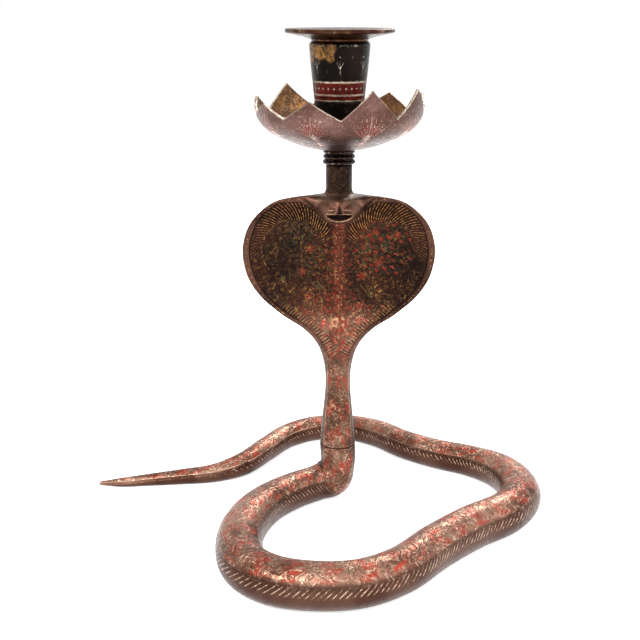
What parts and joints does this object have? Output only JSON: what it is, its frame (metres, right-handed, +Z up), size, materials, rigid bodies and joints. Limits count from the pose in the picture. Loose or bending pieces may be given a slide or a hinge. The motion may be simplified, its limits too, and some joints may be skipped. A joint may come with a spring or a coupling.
{
  "type": "cobra candle holder",
  "caption": "Candle holder shaped as a cobra: its coil stands on the table, and its spread hood carries a lotus drip pan and a screw-on candle cup.",
  "frame": {"origin": "on the table, under the middle of the holder's length and depth", "axes": "+Z up, and the hood faces -Y; +X is to the right when looking at the hood's face"},
  "size_m": [0.2188, 0.184, 0.224],
  "materials": {
    "snake_brass": "engraved cast brass, dark lacquer rubbed back on high places",
    "turned_brass": "turned brass under black lacquer",
    "pan_brass": "sheet brass under mauve-brown lacquer",
    "bare_brass": "plain turned"
  },
  "bodies": {
    "cobra": {"coil_casting": "snake_brass", "tail_casting": "snake_brass", "hood_casting": "snake_brass", "lower_ring": "turned_brass", "middle_ring": "turned_brass", "upper_ring": "turned_brass", "lotus_pan": "pan_brass", "neck_spigot": "bare_brass", "tail_spigot": "bare_brass", "tie_rod": "bare_brass"},
    "candle_cup": {"candle_cup": "turned_brass", "rim_plate": "turned_brass"}
  },
  "joints": [
    {"name": "cup_turn", "type": "hinge", "parent": "cobra", "child": "candle_cup", "pos_m": [0.01177, 0.01503, 0.174], "axis": [0, 0, 1], "continuous": true}
  ]
}
